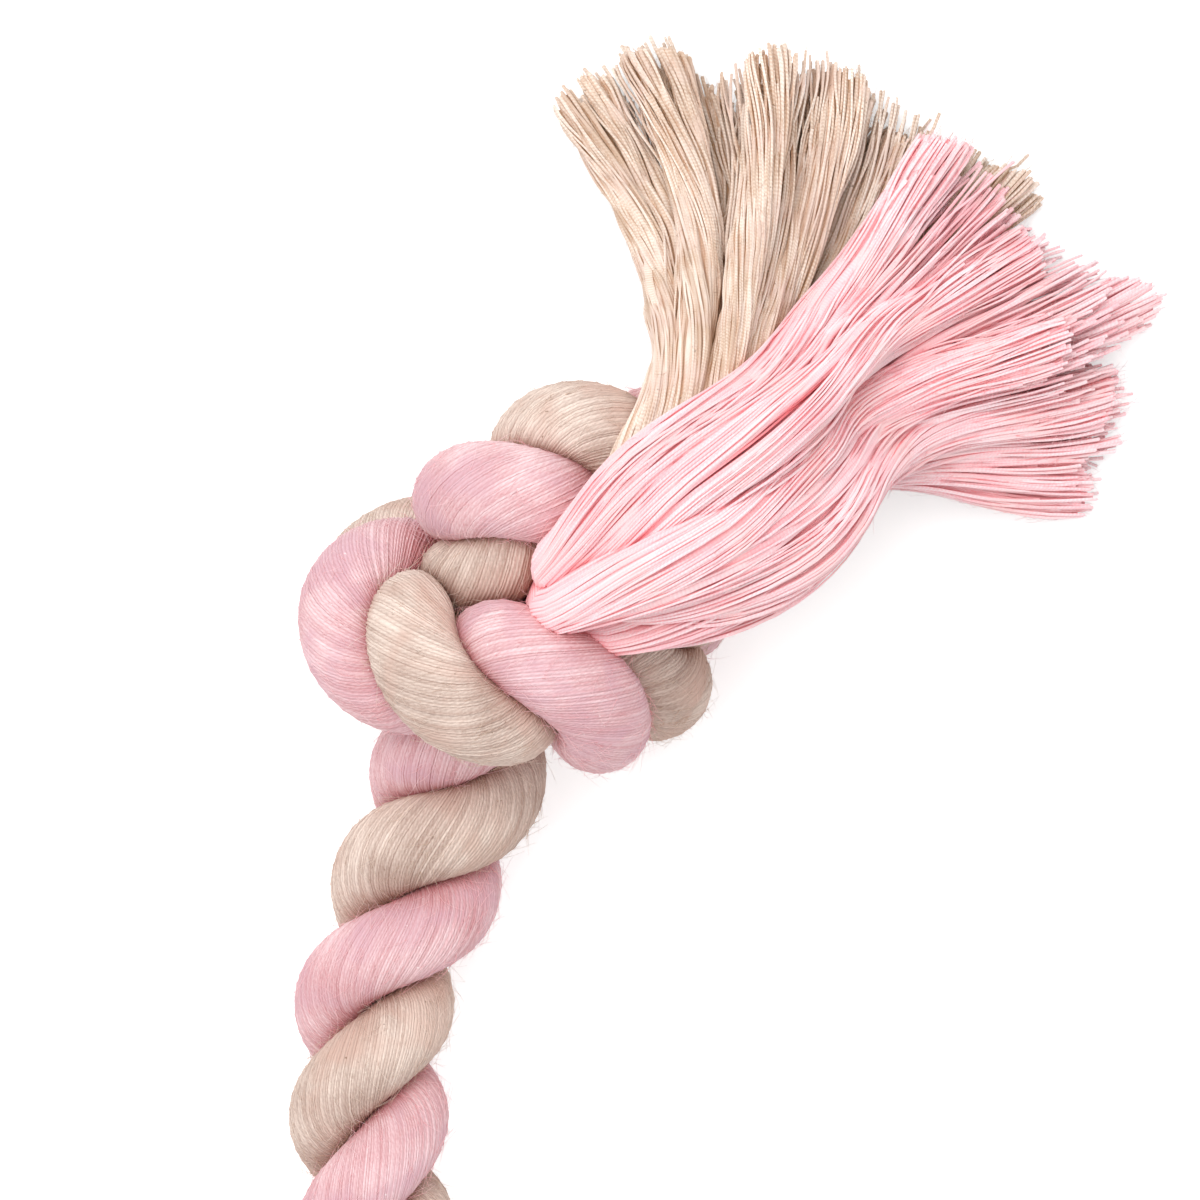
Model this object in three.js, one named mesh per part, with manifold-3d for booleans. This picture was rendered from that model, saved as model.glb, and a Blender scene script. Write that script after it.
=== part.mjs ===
// A dog's rope toy: one length of two-strand cotton rope with an overhand knot near each end.
// Past each knot the two strands are unlaid into a tassel of yarn locks. Lengths are millimetres,
// +Z is up, and the toy lies on the floor at Z = 0, on its knots and the tips of its tassels.
// The far half is the near half turned half round the vertical axis through the rope's middle.

import * as THREE from 'three';
import { mergeVertices } from 'three/addons/utils/BufferGeometryUtils.js';
import Module from 'manifold-3d';

const wasm = await Module();
wasm.setup();

// Rope
const ROPE_DIAMETER = 25;
const ROPE_HEIGHT = 26;
const LAY_LENGTH = 36;
const HALF_SPAN = 89;
const SIDE_SWAY = 14;
const BEND_LENGTH = 38;
const CLEARANCE = 0.3;
// Kept between the settled paths, so that the straight-sided tubes along them stay clear too
const SOFT_GAP = 1;

// A strand's full radius in the free rope and in the knot. Where a strand presses on a neighbour its
// side is flat, and lies at the core radius from its middle line.
const STRAND_RADIUS = 6.7;
const STRAND_CORE_RADIUS = ROPE_DIAMETER / 2 - STRAND_RADIUS - SOFT_GAP / 2;
const KNOT_STRAND_RADIUS = 7.6;
const KNOT_CORE_RADIUS = 4.4;
// The strands pass from the free rope's radii to the knot's over this length about the knot's mouth
const SQUEEZE_RUN = 20;
// How far the inside of a strand's own bend may reach towards the bend's centre
const BEND_SHARE = 0.85;
const FOOT_CUT_SHARE = 0.2;

// Tassel
const CREAM_TASSEL_REACH = 78;
const PINK_TASSEL_REACH = 88;
const CREST_REACH = 23;
const CREST_HEIGHT = 63;
const FALL_HEIGHT_SHARE = 0.85;
const LOCK_RISE = 3;
const LOCK_ROOT_RADIUS = 1.35;
const LOCK_BODY_RADIUS = 3.4;
const LOCK_TIP_RADIUS = 5.4;

// How a tassel's locks are gathered past the knot's shoulder and how they fall from there: the middle
// direction in plan in degrees from +X and the share of the tips' spread, then where a lock widens
const CREAM_LIE = {
  neck: { degrees: 61, spreadShare: 0.3 },
  fall: { degrees: 66, spreadShare: 0.65 },
  wideningShares: [0.3, 0.8],
};
const PINK_LIE = {
  neck: { degrees: 22, spreadShare: 0.8 },
  fall: { degrees: 32, spreadShare: 0.35 },
  wideningShares: [0, 0.3],
};

// Faceting and settling
const WALK_STEP = 2;
const STRAND_RING_POINT_COUNT = 2;
const STRAND_SIDES = 8;
const LOCK_SIDES = 6;
const LOCK_RING_POINT_COUNT = 3;
const LOCK_HELD_COUNT = 2;
const CURVE_DIVISION_COUNT = 600;
const SETTLE_ROUND_COUNT = 260;
const PUSH_SHARE = 0.5;
const EASE_SHARE = 0.5;
const OWN_REACH_SHARE = 0.6;

// The free half stretch: sideways as a share of the sway, onward as a share of the half span
const STRETCH_SHARES = [[0, 0], [-0.08, 0.17], [-0.14, 0.34], [-0.06, 0.51], [0.34, 0.69], [0.78, 0.86]];

// The knot's route from its mouth: x and y from the mouth and z from the floor, as shares of the
// rope's diameter, then the turns of lay passed since the mouth
const KNOT_ROUTE_SHARES = [
  [0, 0, 1.16, 0],
  [0.10, 0.48, 1.36, 0.27],
  [0.20, 0.88, 1.72, 0.39],
  [0.31, 1.15, 2.00, 0.77],
  [0.61, 1.35, 2.08, 1.10],
  [1.00, 1.42, 2.00, 1.44],
  [1.31, 1.36, 1.92, 1.87],
  [1.38, 1.18, 1.80, 2.12],
  [1.10, 0.94, 1.60, 2.37],
  [0.78, 0.80, 1.24, 2.62],
  [0.34, 0.80, 0.80, 2.72],
  [-0.04, 0.88, 0.80, 2.94],
  [-0.33, 0.90, 1.08, 3.19],
  [-0.46, 0.72, 1.52, 3.49],
  [-0.26, 0.50, 1.92, 3.90],
  [0.06, 0.36, 2.16, 4.24],
  [0.46, 0.34, 2.16, 4.54],
  [0.74, 0.40, 1.76, 4.84],
  [0.88, 0.58, 1.20, 5.12],
  [0.96, 0.74, 0.68, 5.47],
  [1.00, 1.00, 0.44, 5.82],
  [0.92, 1.24, 0.52, 6.17],
  [0.80, 1.24, 0.96, 6.47],
  [0.80, 1.12, 1.48, 6.77],
  [0.88, 1.10, 2.08, 7.07],
];

// Each lock: its direction in plan in degrees from +X, then its reach, crest height and tip height as
// shares of the tassel's reach, the crest height and the tip radius
const CREAM_LOCKS = [
  { name: 'cream_lock_1', degrees: 93, reachShare: 0.91, crestShare: 0.92, tipShare: 1.1 },
  { name: 'cream_lock_2', degrees: 86, reachShare: 0.97, crestShare: 0.94, tipShare: 1.6 },
  { name: 'cream_lock_3', degrees: 80, reachShare: 0.95, crestShare: 0.82, tipShare: 1.1 },
  { name: 'cream_lock_4', degrees: 74, reachShare: 1.01, crestShare: 0.98, tipShare: 3.2 },
  { name: 'cream_lock_5', degrees: 66, reachShare: 0.99, crestShare: 0.90, tipShare: 1.6 },
  { name: 'cream_lock_6', degrees: 58, reachShare: 1.02, crestShare: 0.82, tipShare: 1.1 },
  { name: 'cream_lock_7', degrees: 46, reachShare: 1.02, crestShare: 0.84, tipShare: 1.1 },
];
const PINK_LOCKS = [
  { name: 'pink_lock_1', degrees: 47, reachShare: 1.00, crestShare: 1.16, tipShare: 2.6 },
  { name: 'pink_lock_2', degrees: 36, reachShare: 0.96, crestShare: 1.20, tipShare: 1.6 },
  { name: 'pink_lock_3', degrees: 26, reachShare: 1.09, crestShare: 1.02, tipShare: 1.1 },
  { name: 'pink_lock_4', degrees: 27, reachShare: 0.94, crestShare: 1.20, tipShare: 3.6 },
  { name: 'pink_lock_5', degrees: 19, reachShare: 0.96, crestShare: 1.04, tipShare: 1.6 },
  { name: 'pink_lock_6', degrees: 12, reachShare: 0.88, crestShare: 1.00, tipShare: 1.1 },
];

const UP = new THREE.Vector3(0, 0, 1);

function pinkCotton() {
  return new THREE.MeshStandardMaterial({ color: 0xe9bcc2, roughness: 0.95, metalness: 0 });
}

function creamCotton() {
  return new THREE.MeshStandardMaterial({ color: 0xded0bd, roughness: 0.95, metalness: 0 });
}

// The half rope from the toy's middle to the tail past the knot, with the turns of lay at each point.
// A whole number of half turns in the stretch lets the far half carry on the same two strands.
function ropeRoute() {
  const stretchTurns = Math.round((2 * HALF_SPAN) / LAY_LENGTH) / 2;
  const stretch = STRETCH_SHARES.map(([side, on]) => {
    return [side * SIDE_SWAY, on * HALF_SPAN, ROPE_HEIGHT, on * stretchTurns];
  });
  const knot = KNOT_ROUTE_SHARES.map(([x, y, z, turns]) => {
    return [SIDE_SWAY + x * ROPE_DIAMETER, HALF_SPAN + y * ROPE_DIAMETER, z * ROPE_DIAMETER,
      stretchTurns + turns];
  });
  return [...stretch, ...knot];
}

// Points at equal steps along a smooth curve through the route, and the turns of lay at each
function walkRoute(route, step) {
  const corners = route.map(([x, y, z]) => new THREE.Vector3(x, y, z));
  const curve = new THREE.CatmullRomCurve3(corners, false, 'centripetal');
  curve.arcLengthDivisions = CURVE_DIVISION_COUNT;
  const count = Math.round(curve.getLength() / step);
  const walk = [];
  for (let i = 0; i <= count; i += 1) {
    const t = curve.getUtoTmapping(i / count);
    const place = t * (route.length - 1);
    const leg = Math.min(Math.floor(place), route.length - 2);
    const turns = THREE.MathUtils.lerp(route[leg][3], route[leg + 1][3], place - leg);
    walk.push({ point: curve.getPoint(t), turns });
  }
  return walk;
}

function tangentsOf(points) {
  return points.map((_, i) => {
    const before = points[Math.max(i - 1, 0)];
    const after = points[Math.min(i + 1, points.length - 1)];
    return after.clone().sub(before).normalize();
  });
}

// One direction square to each tangent, carried along the path without twist
function carriedNormals(tangents, first) {
  const normals = [];
  let carried = first;
  for (const tangent of tangents) {
    carried = carried.clone().addScaledVector(tangent, -carried.dot(tangent)).normalize();
    normals.push(carried);
  }
  return normals;
}

// The two strands of the half rope, wound right-handed round its middle line
function layStrands() {
  const walk = walkRoute(ropeRoute(), WALK_STEP);
  const line = walk.map(({ point }) => point);
  const tangents = tangentsOf(line);
  const normals = carriedNormals(tangents, UP);
  const squeezed = (free, tight) => walk.map((_, i) => {
    const squeeze = THREE.MathUtils.smoothstep(i * WALK_STEP, HALF_SPAN - SQUEEZE_RUN / 2,
      HALF_SPAN + SQUEEZE_RUN / 2);
    return THREE.MathUtils.lerp(free, tight, squeeze);
  });
  const radii = squeezed(STRAND_CORE_RADIUS, KNOT_CORE_RADIUS);
  const full = squeezed(STRAND_RADIUS, KNOT_STRAND_RADIUS);
  const side = (sign) => line.map((point, i) => {
    const angle = 2 * Math.PI * walk[i].turns;
    const across = tangents[i].clone().cross(normals[i]);
    const away = normals[i].clone().multiplyScalar(Math.cos(angle)).addScaledVector(across, Math.sin(angle));
    return point.clone().addScaledVector(away, sign * (radii[i] + SOFT_GAP / 2));
  });
  const held = Math.ceil(BEND_LENGTH / WALK_STEP);
  const ownReach = ROPE_DIAMETER * OWN_REACH_SHARE;
  return [
    { points: side(-1), radii, full, held, moves: true, ownReach },
    { points: side(1), radii, full, held, moves: true, ownReach },
  ];
}

// How near two points of the paths may come: nothing for neighbours along one path
function roomBetween(a, b) {
  const neighbours = a.path === b.path && Math.abs(a.index - b.index) * WALK_STEP < a.path.ownReach;
  return neighbours ? 0 : a.radius + b.radius + SOFT_GAP;
}

// Pushes the paths' points apart until each pair has its room, easing every path as it goes
function settle(paths, rounds) {
  const nodes = paths.flatMap((path) => {
    return path.points.map((at, index) => ({
      path, index, at, home: at.clone(), radius: path.radii[index], push: new THREE.Vector3(), weight: 0,
      fixed: !path.moves || index < path.held,
    }));
  });
  const pairs = [];
  nodes.forEach((a, i) => nodes.slice(i + 1).forEach((b) => {
    const room = roomBetween(a, b);
    if (room > 0 && !(a.fixed && b.fixed)) pairs.push({ a, b, room });
  }));
  const apart = new THREE.Vector3();
  for (let round = 0; round < rounds; round += 1) {
    for (const { a, b, room } of pairs) {
      apart.subVectors(a.at, b.at);
      const distance = apart.length();
      if (distance >= room) continue;
      const lack = room - distance;
      apart.multiplyScalar((lack * lack) / Math.max(distance, CLEARANCE));
      a.push.add(apart);
      b.push.sub(apart);
      a.weight += lack;
      b.weight += lack;
    }
    for (const node of nodes) {
      if (!node.fixed && node.weight > 0) node.at.addScaledVector(node.push, PUSH_SHARE / node.weight);
      node.push.set(0, 0, 0);
      node.weight = 0;
      if (!node.fixed) node.at.z = Math.max(node.at.z, node.radius * (1 - FOOT_CUT_SHARE));
    }
    for (const path of paths) if (path.moves) ease(path, nodes.filter((node) => node.path === path));
  }
}

// Moves each point's shift from home towards the mean shift of its two neighbours
function ease(path, nodes) {
  const shifts = nodes.map((node) => node.at.clone().sub(node.home));
  for (let i = path.held; i < nodes.length - 1; i += 1) {
    const mean = shifts[i - 1].clone().add(shifts[i + 1]).multiplyScalar(1 / 2);
    nodes[i].at.copy(nodes[i].home).add(shifts[i].clone().lerp(mean, EASE_SHARE));
  }
}

// The radii of a path, less where a neighbour is still nearer than both radii and the soft gap
function slimmedRadii(path, paths) {
  return path.points.map((point, index) => {
    const here = { path, index, radius: path.radii[index] };
    let radius = here.radius;
    for (const other of paths) {
      other.points.forEach((place, k) => {
        const room = roomBetween(here, { path: other, index: k, radius: other.radii[k] });
        if (room === 0) return;
        const share = here.radius / (room - SOFT_GAP);
        radius = Math.min(radius, share * (point.distanceTo(place) - SOFT_GAP));
      });
    }
    return radius;
  });
}

function slimToNeighbours(paths) {
  const slimmed = paths.map((path) => (path.moves ? slimmedRadii(path, paths) : path.radii));
  paths.forEach((path, i) => {
    path.radii = slimmed[i];
  });
}

// A closed tube of straight-sided rings along a path, with flat ends. A ring's corners lie at the
// radius that the path has there in each corner's direction.
function tubeGeometry(points, tangents, radiusAt, sides) {
  const seed = Math.abs(tangents[0].z) < Math.SQRT1_2 ? UP : new THREE.Vector3(1, 0, 0);
  const normals = carriedNormals(tangents, seed);
  const positions = [];
  points.forEach((point, i) => {
    const across = tangents[i].clone().cross(normals[i]);
    for (let k = 0; k < sides; k += 1) {
      const angle = (2 * Math.PI * k) / sides;
      const way = normals[i].clone().multiplyScalar(Math.cos(angle));
      way.addScaledVector(across, Math.sin(angle));
      positions.push(...point.clone().addScaledVector(way, radiusAt(i, way)).toArray());
    }
  });
  const last = points.length - 1;
  const faces = [];
  for (let i = 0; i < last; i += 1) {
    for (let k = 0; k < sides; k += 1) {
      const [a, b] = [i * sides + k, i * sides + ((k + 1) % sides)];
      faces.push(a, b, a + sides, b, b + sides, a + sides);
    }
  }
  for (let k = 1; k < sides - 1; k += 1) {
    faces.push(0, k + 1, k);
    faces.push(last * sides, last * sides + k, last * sides + k + 1);
  }
  const geometry = new THREE.BufferGeometry();
  geometry.setAttribute('position', new THREE.Float32BufferAttribute(positions, 3));
  geometry.setIndex(faces);
  return geometry;
}

function solidOf(geometry) {
  const bare = geometry.clone();
  bare.deleteAttribute('normal');
  bare.deleteAttribute('uv');
  const merged = mergeVertices(bare);
  return new wasm.Manifold(new wasm.Mesh({
    numProp: 3,
    vertProperties: new Float32Array(merged.attributes.position.array),
    triVerts: new Uint32Array(merged.index.array),
  }));
}

function geometryOf(solid) {
  const mesh = solid.getMesh();
  const geometry = new THREE.BufferGeometry();
  geometry.setAttribute('position', new THREE.Float32BufferAttribute(mesh.vertProperties, 3));
  geometry.setIndex([...mesh.triVerts]);
  return geometry;
}

// Cuts off what reaches below the floor, which leaves the flat that the piece rests on
function cutAtFloor(geometry) {
  geometry.computeBoundingBox();
  const { min, max } = geometry.boundingBox;
  if (min.z >= 0) return geometry;
  const size = max.clone().sub(min).addScalar(ROPE_DIAMETER);
  const block = new THREE.BoxGeometry(size.x, size.y, size.z);
  block.translate((min.x + max.x) / 2, (min.y + max.y) / 2, -size.z / 2);
  return geometryOf(solidOf(geometry).subtract(solidOf(block)));
}

function finished(geometry) {
  const flat = geometry.toNonIndexed();
  flat.computeVertexNormals();
  return flat;
}

// The places of a path's rings: every nth point from the first one, and always the last point
function everyNth(count, first, stride) {
  const picks = [];
  for (let i = first; i < count - stride / 2; i += stride) picks.push(i);
  if (picks.at(-1) > count - 1 - stride / 2) picks.pop();
  return [...picks, count - 1];
}

// The whole strand, tip to tip: the near half, and the same turned half round before it
function wholeStrand(half) {
  const mirrored = (list) => [...list.slice(1).reverse(), ...list];
  const far = half.points.slice(1).reverse().map((v) => new THREE.Vector3(-v.x, -v.y, v.z));
  return { points: [...far, ...half.points], radii: mirrored(half.radii), full: mirrored(half.full),
    ownReach: half.ownReach };
}

// The points of all paths that may press on one point of a path
function neighboursOf(path, index, paths) {
  const here = { path, index, radius: path.radii[index] };
  const point = path.points[index];
  const near = [];
  for (const other of paths) {
    other.points.forEach((place, k) => {
      if (roomBetween(here, { path: other, index: k, radius: other.radii[k] }) === 0) return;
      const apart = place.clone().sub(point);
      const distance = apart.length();
      if (distance > 2 * path.full[index] + other.radii[k]) return;
      const split = (distance * here.radius) / (here.radius + other.radii[k]) - SOFT_GAP / 2;
      near.push({ apart, room: split * distance });
    });
  }
  return near;
}

// How far a strand's side swells from a point of its middle line in one direction: to its full
// radius, but short of the plane that it shares with a neighbour, and of the centre of its own bend
function swollenRadius(full, bend, neighbours, way) {
  let radius = full;
  const turn = bend.dot(way);
  if (turn > 0) radius = Math.min(radius, BEND_SHARE / turn);
  for (const { apart, room } of neighbours) {
    const facing = apart.dot(way);
    if (facing > 0) radius = Math.min(radius, room / facing);
  }
  return radius;
}

// A piece of a whole strand between two places on it, its first end drawn back by the clearance
function strandGeometry(strand, first, last, clearance, paths) {
  const tangents = tangentsOf(strand.points);
  const picks = everyNth(last + 1, first, STRAND_RING_POINT_COUNT);
  const points = picks.map((i) => strand.points[i].clone());
  points[0].addScaledVector(tangents[first], clearance);
  const neighbours = strand.points.map((_, i) => {
    return i < first - 1 || i > last + 1 ? [] : neighboursOf(strand, i, paths);
  });
  const bends = picks.map((i) => {
    const before = tangents[Math.max(i - 1, 0)];
    const after = tangents[Math.min(i + 1, tangents.length - 1)];
    return after.clone().sub(before).divideScalar(2 * WALK_STEP);
  });
  const radiusAt = (k, way) => {
    const pressing = neighbours.slice(Math.max(picks[k] - 1, 0), picks[k] + 2).flat();
    const corner = strand.full[picks[k]] / Math.cos(Math.PI / STRAND_SIDES);
    return swollenRadius(corner, bends[k], pressing, way);
  };
  return cutAtFloor(tubeGeometry(points, picks.map((i) => tangents[i]), radiusAt, STRAND_SIDES));
}

// The places of a bundle's locks across the end of their strand: one in the middle, the rest round it
function rootPlaces(count, spacing) {
  const places = [new THREE.Vector2(0, 0)];
  for (let k = 0; k < count - 1; k += 1) {
    const angle = (2 * Math.PI * k) / (count - 1);
    places.push(new THREE.Vector2(Math.cos(angle), Math.sin(angle)).multiplyScalar(spacing));
  }
  return places;
}

// Gives each lock the free root place nearest to its own direction
function shareOutRoots(locks, end, along) {
  const normal = carriedNormals([along], new THREE.Vector3(1, 0, 0))[0];
  const across = along.clone().cross(normal);
  const spacing = 2 * LOCK_ROOT_RADIUS + 2 * CLEARANCE;
  const free = rootPlaces(locks.length, spacing).map((place) => {
    return end.clone().addScaledVector(normal, place.x).addScaledVector(across, place.y);
  });
  return locks.map(({ degrees }) => {
    const angle = THREE.MathUtils.degToRad(degrees);
    const way = new THREE.Vector3(-Math.sin(angle), Math.cos(angle), 0);
    free.sort((p, q) => p.clone().sub(q).dot(way));
    return free.pop();
  });
}

// A lock rises from the strand's end, bends over the knot's shoulder and falls to the floor
function lockPath(lock, root, along, reach, lie, meanDegrees) {
  const inPlan = (degrees, distance, height) => {
    const angle = THREE.MathUtils.degToRad(degrees);
    const [x, y] = [root.x + distance * Math.cos(angle), root.y + distance * Math.sin(angle)];
    return new THREE.Vector3(x, y, height);
  };
  const gathered = ({ degrees, spreadShare }) => degrees + (lock.degrees - meanDegrees) * spreadShare;
  const far = reach * lock.reachShare;
  const crestHeight = CREST_HEIGHT * lock.crestShare;
  const tipHeight = LOCK_TIP_RADIUS * lock.tipShare;
  const fallHeight = ((crestHeight + tipHeight) / 2) * FALL_HEIGHT_SHARE;
  const corners = [
    root.clone().addScaledVector(along, CLEARANCE),
    root.clone().addScaledVector(along, LOCK_RISE),
    inPlan(gathered(lie.neck), CREST_REACH, crestHeight),
    inPlan(gathered(lie.fall), (CREST_REACH + far) / 2, fallHeight),
    inPlan(lock.degrees, far, tipHeight),
  ];
  const curve = new THREE.CatmullRomCurve3(corners, false, 'centripetal');
  const count = Math.round(curve.getLength() / WALK_STEP);
  const points = curve.getSpacedPoints(count);
  const radii = points.map((_, i) => {
    const t = i / count;
    const widening = THREE.MathUtils.smoothstep(t, ...lie.wideningShares);
    const body = THREE.MathUtils.lerp(LOCK_ROOT_RADIUS, LOCK_BODY_RADIUS, widening);
    return THREE.MathUtils.lerp(body, LOCK_TIP_RADIUS, t * t);
  });
  return { name: lock.name, points, radii, held: LOCK_HELD_COUNT, moves: true, ownReach: Infinity };
}

// The locks of one strand, gathered past the knot's shoulder and fanned out from there
function tassel(locks, strand, reach, lie) {
  const end = strand.points.at(-1);
  const along = tangentsOf(strand.points).at(-1);
  const roots = shareOutRoots(locks, end, along);
  const meanDegrees = locks.reduce((sum, lock) => sum + lock.degrees, 0) / locks.length;
  return locks.map((lock, i) => lockPath(lock, roots[i], along, reach, lie, meanDegrees));
}

function lockGeometry(lock) {
  const tangents = tangentsOf(lock.points);
  const picks = everyNth(lock.points.length, 0, LOCK_RING_POINT_COUNT);
  return cutAtFloor(tubeGeometry(picks.map((i) => lock.points[i]), picks.map((i) => tangents[i]),
    (k) => lock.radii[picks[k]], LOCK_SIDES));
}

const strands = layStrands();
settle(strands, SETTLE_ROUND_COUNT);
const [pinkStrand, creamStrand] = strands;
for (const strand of strands) strand.moves = false;

const creamTassel = tassel(CREAM_LOCKS, creamStrand, CREAM_TASSEL_REACH, CREAM_LIE);
const pinkTassel = tassel(PINK_LOCKS, pinkStrand, PINK_TASSEL_REACH, PINK_LIE);
const locks = [...creamTassel, ...pinkTassel];
const swollen = strands.map((strand) => ({ ...strand, radii: strand.full }));
settle([...swollen, ...locks], SETTLE_ROUND_COUNT);
slimToNeighbours([...swollen, ...locks]);

const toy = new THREE.Group();
const farHalf = new THREE.Group();
farHalf.rotation.z = Math.PI;
toy.add(farHalf);

function addPiece(parent, name, geometry, material) {
  const mesh = new THREE.Mesh(finished(geometry), material);
  mesh.name = name;
  parent.add(mesh);
}

const wholes = strands.map(wholeStrand);
wholes.forEach((strand, k) => {
  const [name, cotton] = [['pink_strand', pinkCotton], ['cream_strand', creamCotton]][k];
  const last = strand.points.length - 1;
  const middle = last / 2;
  const bend = Math.round(BEND_LENGTH / 2 / WALK_STEP);
  const half = strandGeometry(strand, middle + bend, last, CLEARANCE, wholes);
  addPiece(toy, `${name}_near`, half, cotton());
  addPiece(farHalf, `${name}_far`, half, cotton());
  addPiece(toy, `${name}_bend`, strandGeometry(strand, middle - bend, middle + bend, 0, wholes), cotton());
});
for (const [tuft, cotton] of [[creamTassel, creamCotton], [pinkTassel, pinkCotton]]) {
  for (const lock of tuft) {
    const geometry = lockGeometry(lock);
    addPiece(toy, `${lock.name}_near`, geometry, cotton());
    addPiece(farHalf, `${lock.name}_far`, geometry, cotton());
  }
}

export default toy;
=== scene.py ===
import math

import bpy
import numpy as np
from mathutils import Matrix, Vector


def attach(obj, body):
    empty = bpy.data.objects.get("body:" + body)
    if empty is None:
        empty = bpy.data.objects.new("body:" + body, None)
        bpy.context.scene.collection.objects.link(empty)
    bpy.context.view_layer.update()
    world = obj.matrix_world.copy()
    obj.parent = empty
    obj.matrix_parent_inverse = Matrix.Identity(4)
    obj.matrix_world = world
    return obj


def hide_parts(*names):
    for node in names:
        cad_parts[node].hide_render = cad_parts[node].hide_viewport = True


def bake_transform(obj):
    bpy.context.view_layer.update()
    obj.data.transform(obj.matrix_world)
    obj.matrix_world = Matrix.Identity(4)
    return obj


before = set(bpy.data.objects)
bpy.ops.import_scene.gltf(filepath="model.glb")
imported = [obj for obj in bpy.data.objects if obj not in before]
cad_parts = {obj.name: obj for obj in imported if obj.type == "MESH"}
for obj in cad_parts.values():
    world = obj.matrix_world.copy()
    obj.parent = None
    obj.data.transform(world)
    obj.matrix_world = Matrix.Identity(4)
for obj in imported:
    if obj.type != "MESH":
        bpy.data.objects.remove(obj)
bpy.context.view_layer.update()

# Rope, in metres, as in the solids
ROPE_DIAMETER = 0.025
ROPE_HEIGHT = 0.026
LAY_LENGTH = 0.036
HALF_SPAN = 0.089
SIDE_SWAY = 0.014
BEND_LENGTH = 0.038
CLEARANCE = 0.0003
SOFT_GAP = 0.001
STRAND_RADIUS = 0.0067
CORE_RADIUS = ROPE_DIAMETER / 2 - STRAND_RADIUS - SOFT_GAP / 2
KNOT_STRAND_RADIUS = 0.0076
KNOT_CORE_RADIUS = 0.0044
SQUEEZE_RUN = 0.020
FOOT_CUT_SHARE = 0.2

# Walking and settling of the paths, as in the solids
WALK_STEP = 0.002
SETTLE_ROUNDS = 260
PUSH_SHARE = 0.5
EASE_SHARE = 0.5
OWN_REACH = 0.6 * ROPE_DIAMETER
CURVE_DIVISIONS = 600
PAIR_MARGIN = 0.008
PAIR_REFRESH = 20

# The free half stretch: sideways as a share of the sway, onward as a share of the half span
STRETCH_SHARES = [(0, 0), (-0.08, 0.17), (-0.14, 0.34), (-0.06, 0.51), (0.34, 0.69), (0.78, 0.86)]

# The knot's route from its mouth, as shares of the rope's diameter, then the turns of lay
KNOT_ROUTE_SHARES = [
    (0, 0, 1.16, 0),
    (0.10, 0.48, 1.36, 0.27),
    (0.20, 0.88, 1.72, 0.39),
    (0.31, 1.15, 2.00, 0.77),
    (0.61, 1.35, 2.08, 1.10),
    (1.00, 1.42, 2.00, 1.44),
    (1.31, 1.36, 1.92, 1.87),
    (1.38, 1.18, 1.80, 2.12),
    (1.10, 0.94, 1.60, 2.37),
    (0.78, 0.80, 1.24, 2.62),
    (0.34, 0.80, 0.80, 2.72),
    (-0.04, 0.88, 0.80, 2.94),
    (-0.33, 0.90, 1.08, 3.19),
    (-0.46, 0.72, 1.52, 3.49),
    (-0.26, 0.50, 1.92, 3.90),
    (0.06, 0.36, 2.16, 4.24),
    (0.46, 0.34, 2.16, 4.54),
    (0.74, 0.40, 1.76, 4.84),
    (0.88, 0.58, 1.20, 5.12),
    (0.96, 0.74, 0.68, 5.47),
    (1.00, 1.00, 0.44, 5.82),
    (0.92, 1.24, 0.52, 6.17),
    (0.80, 1.24, 0.96, 6.47),
    (0.80, 1.12, 1.48, 6.77),
    (0.88, 1.10, 2.08, 7.07),
]

# Tassels, as in the solids
CREAM_TASSEL_REACH = 0.078
PINK_TASSEL_REACH = 0.088
CREST_REACH = 0.023
CREST_HEIGHT = 0.063
FALL_HEIGHT_SHARE = 0.85
LOCK_RISE = 0.003
LOCK_ROOT_RADIUS = 0.00135
LOCK_BODY_RADIUS = 0.0034
LOCK_TIP_RADIUS = 0.0054
LOCK_HELD_COUNT = 2

# Where a tassel's locks are gathered past the knot's shoulder and where they fall, each as the middle
# direction in plan in degrees and the share of the tips' spread, then the run in which a lock widens
CREAM_NECK = {"degrees": 61, "spread": 0.3}
CREAM_FALL = {"degrees": 66, "spread": 0.65}
CREAM_WIDENING_SHARES = (0.3, 0.8)
PINK_NECK = {"degrees": 22, "spread": 0.8}
PINK_FALL = {"degrees": 32, "spread": 0.35}
PINK_WIDENING_SHARES = (0, 0.3)

# Each lock: its direction in plan in degrees, then its reach, crest height and tip height as shares
# of the tassel's reach, the crest height and the tip radius
CREAM_LOCKS = [
    (93, 0.91, 0.92, 1.1),
    (86, 0.97, 0.94, 1.6),
    (80, 0.95, 0.82, 1.1),
    (74, 1.01, 0.98, 3.2),
    (66, 0.99, 0.90, 1.6),
    (58, 1.02, 0.82, 1.1),
    (46, 1.02, 0.84, 1.1),
]
PINK_LOCKS = [
    (47, 1.00, 1.16, 2.6),
    (36, 0.96, 1.20, 1.6),
    (26, 1.09, 1.02, 1.1),
    (27, 0.94, 1.20, 3.6),
    (19, 0.96, 1.04, 1.6),
    (12, 0.88, 1.00, 1.1),
]

# Look of a strand: its yarns, the points round each, and the rings along it
STRAND_YARNS = 72
POINTS_PER_YARN = 4
RING_STEP = 0.00153
FREE_YARN_TWIST = 175
KNOT_YARN_TWIST = 145
FREE_SWELL_RADIUS = 0.0067
KNOT_SWELL_RADIUS = 0.0081
CREASE_GAP = 0.00006
CREASE_ROUNDING = 0.0011
RIDGE_PROFILE = (-1, 0.2, 0.5, 0.2)
RIDGE_HEIGHT = 0.00013
YARN_UNEVENNESS = 0.00009
YARN_DRIFT = 0.42
DRIFT_RUN = 0.010
BEND_LIMIT_SHARE = 0.9
BLUR_ROUNDS = 3
END_TAPER_RUN = 0.007
END_TAPER_SHARE = 0.45

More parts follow.
